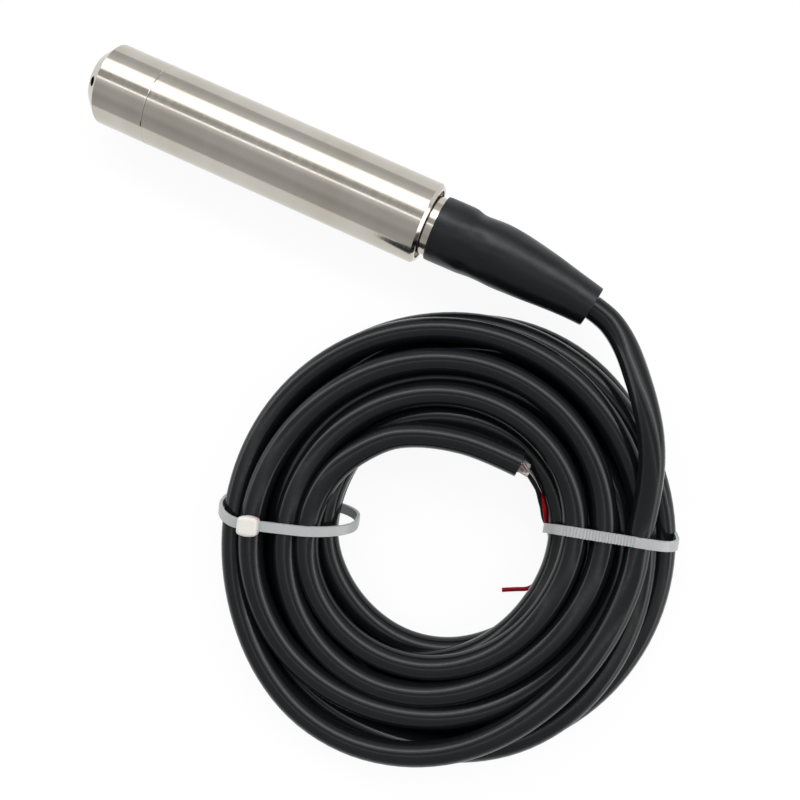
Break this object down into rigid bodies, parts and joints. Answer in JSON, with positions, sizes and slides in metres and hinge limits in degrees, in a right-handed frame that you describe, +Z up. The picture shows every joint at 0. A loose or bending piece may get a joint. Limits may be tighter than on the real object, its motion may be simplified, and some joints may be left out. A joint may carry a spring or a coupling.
{
  "type": "submersible level sensor",
  "caption": "Slim stainless cylinder with a tapered inlet nose and a black boot, on a vented cable wound into a tied coil, for sensing liquid depth by pressure.",
  "frame": {"origin": "on the floor under the middle of the rigid probe, halfway from the nose's tip to the neck's end", "axes": "+X along the probe from its nose to its cable, +Z up, the coil of cable on the -Y side"},
  "size_m": [0.2362, 0.1746, 0.0282],
  "materials": {
    "stainless": "satin-polished stainless steel",
    "contact_pin": "gilded contact pins",
    "seal_rubber": "matt black sealing rubber",
    "boot_sleeve": "satin black shrunk sleeve",
    "cable_jacket": "satin black jacket",
    "tie_nylon": "natural nylon",
    "wire_red": "red insulation",
    "wire_black": "black insulation",
    "lead_wire": "pale insulation",
    "braid": "tinned copper braid",
    "vent_plastic": "translucent vent tube",
    "carrier_plastic": "moulded plastic",
    "board": "green solder mask",
    "component_black": "moulded component case",
    "capacitor_can": "drawn can"
  },
  "bodies": {
    "probe": {"housing_tube": "stainless", "rear_plug": "stainless", "capsule_body": "stainless", "capsule_lock_ring": "stainless", "capsule_diaphragm": "stainless", "capsule_vent_stub": "stainless", "gland_washer": "stainless", "gland_screw": "stainless", "capsule_pins": "contact_pin", "capsule_seal_ring": "seal_rubber", "plug_seal_ring": "seal_rubber", "gland_grommet": "seal_rubber", "strain_relief_boot": "boot_sleeve", "cable_entry": "cable_jacket", "cable_lead": "cable_jacket", "cable_coil": "cable_jacket", "cable_tail": "cable_jacket", "cable_tie_left": "tie_nylon", "cable_tie_right": "tie_nylon", "core_wire_red": "wire_red", "inner_wire_red": "wire_red", "core_wire_black": "wire_black", "inner_wire_black": "wire_black", "capsule_leads": "lead_wire", "shield_braid": "braid", "vent_tube": "vent_plastic", "inner_vent_tube": "vent_plastic", "front_board_carrier": "carrier_plastic", "rear_board_carrier": "carrier_plastic", "circuit_board": "board", "transmitter_chip": "component_black", "surge_diodes": "component_black", "filter_capacitors": "capacitor_can"},
    "cap_seal": {"cap_seal_ring": "seal_rubber"},
    "cap": {"nose_cap": "stainless"}
  },
  "joints": [
    {"name": "cap_travel", "type": "slide", "parent": "probe", "child": "cap_seal", "axis": [-1, 0, 0], "range_m": [0, 0.008]},
    {"name": "cap_turn", "type": "hinge", "parent": "cap_seal", "child": "cap", "pos_m": [-0.0551, 0, 0.0135], "axis": [-1, 0, 0], "range_deg": [0, 2880]}
  ],
  "couplings": [
    {"joint": "cap_travel", "follows": "cap_turn", "m_per_rad": 0.00015915}
  ]
}
